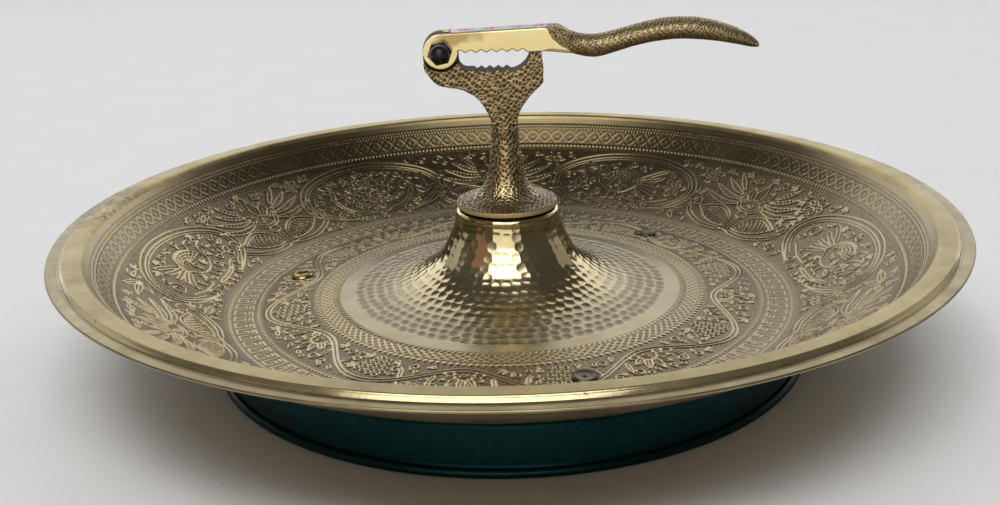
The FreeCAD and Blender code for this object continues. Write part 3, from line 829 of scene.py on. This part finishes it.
def pits(points, cell, seed):
    """How deep each point lies in a honeycomb of pits, from 0 on the ridges to 1."""
    points = points @ np.array([(0.36, 0.48, -0.8), (-0.8, 0.6, 0.0), (0.48, 0.64, 0.6)])
    base = np.floor(points / cell)
    first = np.full(len(points), FAR)
    second = np.full(len(points), FAR)
    for shift in np.ndindex(3, 3, 3):
        at = base + np.array(shift) - 1
        key = at[:, 0] + 57.0 * at[:, 2]
        jitter = np.stack([hashed(key, at[:, 1], seed + k) for k in range(3)], axis=1)
        d = np.linalg.norm((at + 0.22 + 0.56 * jitter) * cell - points, axis=1) / cell
        second = np.minimum(second, np.maximum(first, d))
        first = np.minimum(first, d)
    return smooth((second - first) / 0.45) * smooth((0.9 - first) / 0.4)


def bronze_post():
    """The foot, stem and fixed jaw, pitted all over but for the jaw's floor and the tongue."""
    ob, p, n = cast_copy("bronze_post", "post", 0.2, 7)
    rise = p[:, 2] - RIM_HEIGHT
    pit = pits(p, 1.3, 11)
    floor = (n[:, 2] > 0.5) & (rise > 46.5)
    inside = (p[:, 0] > -16) & (p[:, 0] < 9.2) & (rise > 46.8) & (np.abs(n[:, 1]) < 0.6)
    tongue = np.hypot(p[:, 0] - PIVOT[0], rise - PIVOT[1]) < 6.6
    under = rise < 2.1
    edge = (np.hypot(p[:, 0], p[:, 1]) > 16.6) & (rise < 3.4)
    cast = 1.0 - (floor | inside | tongue | under | edge)
    swell = value_noise(p[:, 0] / 3.1 + 40, (p[:, 2] + p[:, 1]) / 3.1, 17) - 0.5
    p = p + n * (cast * (0.12 * swell - 0.17 * pit) - 0.02)[:, None]
    # Painted shade: the cast colour darkens towards the foot of the post, carried in the relief value.
    shade = 1 - 0.42 * smooth((6.5 - rise) / 3)
    return finish_cast(ob, p, {"relief": (0.25 + 0.75 * (1 - pit)) * cast * shade, "worn": 1.0 * edge})


def flank_end(rise):
    """X where the lever's ground flank gives way to the hammered handle."""
    return np.interp(rise, [54.0, 54.3, 55.7, 58.3, 61.9], [22.6, 21.1, 18.5, 15.6, 13.8])


def bronze_lever():
    """The lever: ground flanks and teeth, then a pitted curved handle."""
    ob, p, n = cast_copy("bronze_lever", "lever", 0.18, 6)
    rise = p[:, 2] - RIM_HEIGHT
    past = p[:, 0] - flank_end(rise)
    handle = smooth(past / 0.7)
    blend = smooth((p[:, 0] - 13.0) / 3.0) * smooth((30.0 - p[:, 0]) / 6.0)
    p = soften(ob, p, blend, 60)
    pit = pits(p, 0.92, 23)
    swell = value_noise(p[:, 0] / 3.5 + 40, (p[:, 2] + p[:, 1]) / 3.1, 19) - 0.5
    p = p + n * (handle * (0.1 * swell - 0.13 * pit) - 0.02)[:, None]
    flank = (1 - handle) * smooth((np.abs(n[:, 1]) - 0.45) / 0.3)
    under = (1 - handle) * (n[:, 2] < -0.3) * 0.7
    return finish_cast(ob, p, {"relief": (0.25 + 0.75 * (1 - pit)) * handle + 0.4 * (1 - handle),
                               "worn": np.maximum(flank, under)})


def soften(ob, points, share, rounds):
    """Points drawn towards their neighbours, each by its share, some rounds over."""
    edges = np.empty(len(ob.data.edges) * 2, np.int32)
    ob.data.edges.foreach_get("vertices", edges)
    a, b = edges.reshape(-1, 2).T
    count = np.bincount(np.concatenate([a, b]), minlength=len(points))[:, None]
    out = points.copy()
    for _ in range(rounds):
        total = np.stack([np.bincount(a, out[b, k], len(points)) + np.bincount(b, out[a, k], len(points))
                          for k in range(3)], axis=1)
        out += 0.6 * share[:, None] * (total / count - out)
    return out


def enamel_strip():
    """Pale enamel along the lever's back, with red flowers and green leaves that stand a little proud."""
    ob, p, n = cast_copy("enamel_strip", "lever_inlay", 0.14, 1)
    red, green = np.zeros(len(p)), np.zeros(len(p))
    for flower in (-12.4, -3.6, 5.2, 12.4):
        dx, dy = p[:, 0] - flower, p[:, 1]
        turn = np.arctan2(dy, dx)
        red = np.maximum(red, smooth((1.9 + 0.6 * np.cos(5 * turn) - np.hypot(0.85 * dx, dy)) / 0.35))
    for leaf_x in (-9.4, -6.6, -0.6, 2.2, 7.6, 10.0):
        dx, dy = p[:, 0] - leaf_x, p[:, 1] - 0.5 * np.sin(3 * leaf_x)
        green = np.maximum(green, smooth((1 - np.hypot(dx / 1.4, (dy - 0.18 * dx) / 0.8)) / 0.3))
    above = n[:, 2] > 0.6
    red, green = red * above, green * above
    p = p + n * (0.05 * np.maximum(red, green) - 0.01)[:, None]
    return finish_cast(ob, p, {"red": red, "green": green})


# --- materials --------------------------------------------------------------------------
class Paint:
    """A material's nodes, with short ways to add them. A value is a number, a colour or a socket."""

    def __init__(self, name, metallic=0.0, roughness=0.5, **plain):
        self.material = bpy.data.materials.new(name)
        self.material.use_nodes = True
        self.tree = self.material.node_tree
        self.shader = self.tree.nodes["Principled BSDF"]
        self.feed(self.shader, Metallic=metallic, Roughness=roughness, **plain)
        self.place = self.node("TexCoord").outputs["Object"]

    def link(self, value, socket):
        if isinstance(value, bpy.types.NodeSocket):
            self.tree.links.new(value, socket)
        else:
            socket.default_value = value

    def feed(self, node, **inputs):
        for key, value in inputs.items():
            self.link(value, node.inputs[key.replace("_", " ")])

    def node(self, kind, **inputs):
        node = self.tree.nodes.new("ShaderNode" + kind)
        self.feed(node, **inputs)
        return node

    def noise(self, scale, detail=4.0, roughness=0.6, stretch=None):
        where = self.place
        if stretch:
            where = self.node("Mapping", Vector=where, Scale=stretch).outputs["Vector"]
        node = self.node("TexNoise", Vector=where, Scale=scale, Detail=detail, Roughness=roughness)
        return node.outputs["Fac"]

    def attribute(self, name):
        node = self.node("Attribute")
        node.attribute_name = name
        return node.outputs["Fac"]

    def maths(self, kind, a, b=0.0):
        node = self.node("Math")
        node.operation = kind
        self.link(a, node.inputs[0])
        self.link(b, node.inputs[1])
        return node.outputs[0]

    def add(self, a, b):
        return self.maths("ADD", a, b)

    def times(self, a, b):
        return self.maths("MULTIPLY", a, b)

    def apart(self, a, b):
        return self.maths("ABSOLUTE", self.maths("SUBTRACT", a, b))

    def axis(self, name):
        """One object coordinate, in millimetres."""
        return self.times(self.node("SeparateXYZ", Vector=self.place).outputs[name], 1 / MM)

    def radius(self):
        """Distance from the bowl's axis, in millimetres."""
        x, y = self.axis("X"), self.axis("Y")
        return self.maths("SQRT", self.add(self.times(x, x), self.times(y, y)))

    def spread(self, value, low, high, to_low=0.0, to_high=1.0):
        """value from low..high to to_low..to_high, clamped."""
        node = self.node("MapRange", Value=value, From_Min=low, From_Max=high, To_Min=to_low, To_Max=to_high)
        return node.outputs["Result"]

    def ramp(self, value, *stops):
        node = self.node("ValToRGB", Fac=value)
        while len(node.color_ramp.elements) < len(stops):
            node.color_ramp.elements.new(0.5)
        for element, (at, colour) in zip(node.color_ramp.elements, stops):
            element.position = at
            element.color = (*colour, 1)
        return node.outputs["Color"]

    def mix(self, share, a, b):
        node = self.node("Mix")
        node.data_type = "RGBA"
        self.feed(node, Factor=share, A=a, B=(*b, 1) if isinstance(b, tuple) else b)
        return node.outputs["Result"]

    def colour(self, value):
        self.feed(self.shader, Base_Color=value)

    def rough(self, value):
        self.feed(self.shader, Roughness=value)

    def bump(self, value, distance, strength=1.0):
        node = self.node("Bump", Strength=strength, Distance=distance, Height=value)
        self.feed(self.shader, Normal=node.outputs["Normal"])


def engraved_brass():
    """Antiqued brass: dark in its recesses, rubbed pale on its lines, with painted shade towards the back
    and the right.
    """
    p = Paint("engraved_brass", 1.0, 0.4)
    relief = p.attribute("relief")
    patina = p.noise(38, 6, 0.65)
    cut = p.add(relief, p.spread(patina, 0.3, 0.7, -0.16, 0.16))
    antique = p.ramp(cut, (0.0, (0.12, 0.09, 0.052)), (0.3, (0.22, 0.171, 0.1)),
                     (0.62, (0.36, 0.285, 0.162)), (0.95, (0.52, 0.422, 0.24)))
    bloom = p.spread(p.noise(14, 4), 0.42, 0.68, 0.0, 0.3)
    antique = p.mix(bloom, antique, (0.3, 0.262, 0.195))
    # Painted shade: the colour darkens towards the back of the bowl (+Y).
    antique = p.mix(p.spread(p.axis("Y"), 30, 110, 0.0, 0.7), antique, (0.07, 0.053, 0.024))
    # Painted shade: the colour darkens a little towards the right of the bowl (+X).
    antique = p.mix(p.spread(p.axis("X"), 20, 110, 0.0, 0.17), antique, (0.12, 0.085, 0.04))
    plain = p.ramp(p.noise(60, 5), (0.3, (0.3, 0.25, 0.15)), (0.7, (0.4, 0.34, 0.22)))
    p.colour(p.mix(p.attribute("worn"), antique, plain))
    p.rough(p.add(p.spread(cut, 0, 1, 0.38, 0.26), p.spread(patina, 0.3, 0.7, -0.04, 0.06)))
    p.bump(p.noise(900, 3), 0.00006, 0.5)
    return p.material


def hammered_brass():
    """Polished brass with a thin tarnish in the hammer marks."""
    p = Paint("hammered_brass", 1.0, 0.16)
    relief = p.attribute("relief")
    skirt = p.spread(p.radius(), 27, 44)
    stain = p.noise(55, 5, 0.6)
    bright = p.ramp(stain, (0.3, (0.52, 0.43, 0.24)), (0.7, (0.72, 0.62, 0.38)))
    dull = p.ramp(p.add(relief, p.spread(stain, 0.3, 0.7, -0.2, 0.2)),
                  (0.1, (0.2, 0.165, 0.105)), (0.7, (0.33, 0.28, 0.185)), (1.0, (0.42, 0.36, 0.24)))
    p.colour(p.mix(skirt, bright, dull))
    p.rough(p.add(p.spread(skirt, 0, 1, 0.13, 0.33), p.spread(stain, 0.3, 0.75, -0.03, 0.1)))
    p.bump(p.noise(700, 3), 0.00003, 0.35)
    return p.material


def rim_brass():
    """Worn brass with small pits, a corroded patch on the left, and painted shade in the corner of the hem
    and towards the front.
    """
    p = Paint("rim_brass", 0.95, 0.34)
    x, y, radius = p.axis("X"), p.axis("Y"), p.radius()
    tone = p.ramp(p.noise(42, 6, 0.65), (0.3, (0.29, 0.22, 0.098)), (0.5, (0.365, 0.288, 0.132)),
                  (0.72, (0.46, 0.372, 0.178)))
    hem_tone = p.ramp(p.noise(70, 5, 0.65), (0.35, (0.27, 0.21, 0.115)), (0.65, (0.4, 0.33, 0.19)))
    under = p.ramp(p.noise(60, 5, 0.6, (1, 1, 6)), (0.3, (0.25, 0.19, 0.105)), (0.7, (0.4, 0.31, 0.18)))
    pits = p.times(p.spread(p.noise(330, 5, 0.75), 0.62, 0.7), p.spread(p.noise(26, 3, 0.5), 0.56, 0.66))
    patch = p.times(p.spread(x, -136, -128, 1.0, 0.0), p.spread(p.apart(y, 18.0), 12, 34, 1.0, 0.0))
    corroded = p.times(patch, p.spread(p.noise(420, 4, 0.7), 0.47, 0.58, 0.0, 0.75))
    pits = p.maths("MAXIMUM", pits, corroded)
    hem = p.spread(radius, 146.1, 146.5)
    step = p.times(p.spread(radius, 144.7, 145.0), p.maths("SUBTRACT", 1.0, hem))
    # Painted shade: a dark line along the corner of the hem, broken up by noise.
    corner = p.spread(p.apart(radius, 146.35), 0.1, 0.5, 0.75, 0.0)
    corner = p.times(corner, p.spread(p.noise(30, 4, 0.6), 0.35, 0.65, 0.3, 1.0))
    tone = p.mix(step, tone, (0.72, 0.62, 0.36))
    tone = p.mix(hem, tone, hem_tone)
    # Painted shade: the lip darkens towards the front of the bowl (-Y).
    tone = p.mix(p.spread(y, -140, -100, 0.25, 0.0), tone, (0.18, 0.14, 0.07))
    tone = p.mix(p.maths("MAXIMUM", pits, corner), tone, (0.1, 0.07, 0.035))
    p.colour(p.mix(p.attribute("worn"), under, tone))
    p.rough(p.add(p.spread(p.noise(90, 5), 0.3, 0.7, 0.3, 0.44), p.times(step, -0.14)))
    p.bump(p.maths("SUBTRACT", p.noise(240, 5, 0.7), p.times(pits, 0.6)), 0.00012, 0.35)
    return p.material


def green_paint():
    """Dark green gloss paint, chipped to rust at the foot."""
    p = Paint("green_paint", 0.0, 0.3, Specular_IOR_Level=0.2, Specular_Tint=(0.3, 0.95, 1.0, 1.0))
    low = p.spread(p.axis("Z"), 2, 5, 0.1, 0.0)
    chip = p.spread(p.add(p.noise(120, 5, 0.7), low), 0.745, 0.765)
    body = p.ramp(p.noise(260, 5, 0.7), (0.3, (0.0005, 0.014, 0.016)), (0.7, (0.001, 0.034, 0.038)))
    p.colour(p.mix(chip, body, (0.12, 0.05, 0.025)))
    p.rough(p.add(p.spread(p.noise(200, 5), 0.3, 0.7, 0.26, 0.4), p.times(chip, 0.4)))
    p.bump(p.maths("SUBTRACT", p.noise(900, 4), chip), 0.0001, 0.5)
    return p.material


def dark_bronze():
    """Cast bronze, black in its pits and rubbed gold on its ridges."""
    p = Paint("dark_bronze", 0.9, 0.38)
    # On the post, relief also carries the painted shade towards its foot.
    relief = p.attribute("relief")
    at = p.add(relief, p.spread(p.noise(90, 5, 0.65), 0.3, 0.7, -0.12, 0.14))
    cast = p.ramp(at, (0.0, (0.035, 0.028, 0.022)), (0.3, (0.12, 0.082, 0.044)), (0.6, (0.2, 0.142, 0.075)),
                  (0.82, (0.31, 0.23, 0.125)), (1.0, (0.5, 0.4, 0.22)))
    p.colour(p.mix(p.attribute("worn"), cast, (0.66, 0.54, 0.3)))
    metallic = p.maths("MAXIMUM", p.spread(relief, 0.0, 0.2, 0.2, 0.95), p.attribute("worn"))
    p.feed(p.shader, Metallic=metallic)
    p.rough(p.add(p.spread(at, 0.1, 1.0, 0.42, 0.24), p.spread(relief, 0.0, 0.2, 0.3, 0.0)))
    p.bump(p.noise(1500, 3), 0.00005, 0.4)
    return p.material


def lever_bronze():
    """The lever: bright ground flanks, dark hammered handle."""
    p = Paint("lever_bronze", 0.95, 0.3)
    at = p.add(p.attribute("relief"), p.spread(p.noise(80, 5, 0.65), 0.3, 0.7, -0.12, 0.14))
    cast = p.ramp(at, (0.0, (0.05, 0.038, 0.025)), (0.3, (0.12, 0.088, 0.05)), (0.6, (0.2, 0.148, 0.08)),
                  (0.82, (0.31, 0.24, 0.13)), (1.0, (0.47, 0.38, 0.21)))
    ground = p.ramp(p.noise(160, 5, 0.6, (0.25, 1, 1.6)), (0.3, (1.0, 0.77, 0.34)), (0.7, (1.0, 0.9, 0.5)))
    ground = p.mix(p.spread(p.noise(70, 3, 0.5), 0.56, 0.66, 0.0, 0.7), ground, (0.4, 0.24, 0.08))
    share = p.attribute("worn")
    p.colour(p.mix(share, cast, ground))
    p.rough(p.spread(share, 0, 1, 0.42, 0.2))
    p.bump(p.noise(600, 3, 0.6, (0.2, 1, 1)), 0.00004, 0.4)
    return p.material


def enamel():
    """Off-white glaze with red and green painted on."""
    p = Paint("enamel", 0.0, 0.3, Specular_IOR_Level=0.2)
    white = p.ramp(p.noise(200, 4), (0.3, (0.42, 0.42, 0.42)), (0.7, (0.62, 0.62, 0.64)))
    red = p.ramp(p.noise(500, 2), (0.35, (0.3, 0.015, 0.02)), (0.65, (0.55, 0.04, 0.05)))
    p.colour(p.mix(p.attribute("green"), p.mix(p.attribute("red"), white, red), (0.03, 0.16, 0.07)))
    p.rough(p.spread(p.noise(120, 3), 0.3, 0.7, 0.3, 0.42))
    return p.material


def plain_metal(name, colours, roughness, metallic=1.0):
    """A metal with two tones and fine grain."""
    p = Paint(name, metallic, roughness)
    p.colour(p.ramp(p.noise(125, 5), (0.3, colours[0]), (0.7, colours[1])))
    p.rough(p.spread(p.noise(250, 4), 0.3, 0.7, roughness - 0.06, roughness + 0.1))
    p.bump(p.noise(500, 3), 0.00004, 0.4)
    return p.material


# --- stage ------------------------------------------------------------------------------
def soft_light(name, place, target, size, brightness, colour, mirrored, lights):
    """A glowing panel, as bright as a white sheet in full light is at 1."""
    data = bpy.data.lights.new(name, "AREA")
    data.shape = "RECTANGLE"
    data.size, data.size_y = size
    data.energy = brightness * math.pi * size[0] * size[1]
    data.color = colour
    ob = new_object(name, data)
    ob.location = place
    ob.rotation_euler = (Vector(target) - Vector(place)).to_track_quat("-Z", "Y").to_euler()
    ob.visible_glossy = mirrored
    ob.visible_diffuse = lights


LIGHTS = (
    # name, place, what it faces, size in metres, brightness, colour, seen in mirrors, lights matt things
    ("back_wall", (-0.1, 2.0, 1.4), (-0.1, 0, 1.4), (4.4, 2.6), 1.25, (0.97, 0.985, 1), True, False),
    ("key", (-0.2, -1.55, 3.3), (0, 0, 0), (2.6, 1.7), 4.85, (0.985, 0.99, 1), False, True),
    ("wing_left", (-1.6, -0.9, 2.8), (0, 0, 0), (1.8, 1.8), 0.9, (0.985, 0.99, 1), False, True),
    ("wing_right", (1.6, -0.9, 2.8), (0, 0, 0), (1.8, 1.8), 0.8, (0.985, 0.99, 1), False, True),
    ("backdrop", (0, 1.0, 1.6), (0, 1.0, 0), (3.6, 0.9), 1.15, (0.945, 0.97, 1), False, True),
    ("left_side", (-2.1, 0.8, 0.7), (0, 0, 0.3), (1.2, 1.0), 0.45, (1, 0.99, 0.97), True, True),
    ("right_side", (2.1, 0.8, 0.7), (0, 0, 0.3), (1.2, 1.0), 0.32, (1, 0.95, 0.88), True, True),
    ("window", (-0.35, -2.25, 2.88), (0, 0, 0.03), (3.0, 2.6), 3.1, (1, 0.98, 0.92), True, False),
    ("room", (-0.2, -1.7, 0.6), (0, 0, 0.2), (1.5, 1.2), 1.22, (1, 0.98, 0.86), True, False),
    ("warm_corner", (-1.6, -1.0, 0.7), (0, 0, 0), (0.9, 1.2), 0.22, (1, 0.5, 0.3), True, False),
)


def cloth_floor():
    """A pale floor, wider than the camera sees."""
    x, y = np.meshgrid([-3200.0, 3200.0], np.linspace(-2600.0, 2600.0, 9))
    points = np.stack([x, y, 0 * x], axis=-1).reshape(-1, 3)
    here = np.arange(len(points)).reshape(x.shape)
    faces = np.stack([here[:-1, 0], here[:-1, 1], here[1:, 1], here[1:, 0]], axis=-1)
    floor = make_mesh("floor", points, faces)
    p = Paint("floor_cloth", 0.0, 0.85)
    p.colour(p.ramp(p.noise(30, 4), (0.3, (0.89, 0.885, 0.88)), (0.7, (0.92, 0.915, 0.91))))
    p.bump(p.noise(900, 4), 0.0004, 0.3)
    floor.data.materials.append(p.material)
    return floor


def stage():
    """Pale floor, one large light high in front, a bright wall behind, and soft sides."""
    floor = cloth_floor()
    world = bpy.data.worlds.new("surround")
    world.use_nodes = True
    world.node_tree.nodes["Background"].inputs["Color"].default_value = (0.9, 0.85, 0.78, 1)
    world.node_tree.nodes["Background"].inputs["Strength"].default_value = 0.09
    bpy.context.scene.world = world
    bpy.context.scene.view_settings.view_transform = "Standard"
    for light in LIGHTS:
        soft_light(*light)


def camera():
    """The view: a little above the rim, from the front, with a slight lean."""
    data = bpy.data.cameras.new("view")
    data.lens = 45.504
    data.sensor_width = 36.0
    data.clip_start = 0.01
    ob = new_object("view", data)
    ob.location = (0, -0.410567, 0.175476)
    ob.rotation_euler = [math.radians(angle) for angle in (70.678, 1.713, -0.186)]
    bpy.context.scene.camera = ob


# --- put together -----------------------------------------------------------------------
def stand_for(piece, body, slot, material, *nodes):
    """A new piece with its material, in place of some CAD nodes, which several pieces may share."""
    piece.data.materials.append(material)
    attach(piece, body)
    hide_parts(*nodes)


def cover(node, material):
    """A CAD node keeps its shape and gets a material."""
    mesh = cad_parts[node].data
    mesh.materials.clear()
    mesh.materials.append(material)


def main():
    camera()
    stage()
    engraved = engraved_brass()
    for piece, brass in ((bowl_wall(), engraved), (bowl_floor(), engraved), (bowl_dome(), hammered_brass()),
                         (bowl_shell(), rim_brass())):
        stand_for(piece, "root", "engraved_brass", brass, "bowl")
    cover("base", green_paint())
    stand_for(bronze_post(), "root", "dark_bronze", dark_bronze(), "post")
    stand_for(bronze_lever(), "lever", "lever_bronze", lever_bronze(), "lever")
    stand_for(enamel_strip(), "lever", "enamel", enamel(), "lever_inlay")
    black = plain_metal("black_steel", ((0.01, 0.009, 0.008), (0.03, 0.026, 0.022)), 0.3, 0.6)
    for node in ("acorn_nut", "pivot_bolt"):
        cover(node, black)
    cover("foot_gasket", plain_metal("fibre", ((0.01, 0.008, 0.007), (0.03, 0.025, 0.02)), 0.6, 0.0))
    steel = plain_metal("zinc_steel", ((0.35, 0.35, 0.36), (0.5, 0.5, 0.5)), 0.35)
    for node in ("plain_washer", "spring_washer", "post_screw"):
        cover(node, steel)
    gold = plain_metal("rivet_brass", ((0.24, 0.16, 0.05), (0.55, 0.42, 0.17)), 0.22)
    dark = plain_metal("dark_rivet", ((0.08, 0.065, 0.045), (0.2, 0.165, 0.11)), 0.35)
    worn, clean = (0.8, 0.4, 0.3), (1.0, 0.25, 0.0)
    for k, metal, cup in ((1, dark, worn), (2, gold, clean), (3, dark, worn)):
        piece = rivet(f"brass_rivet_{k}", RIVETS[k - 1], *cup)
        stand_for(piece, "root", "rivet_brass", metal, f"rivet_{k}")


main()
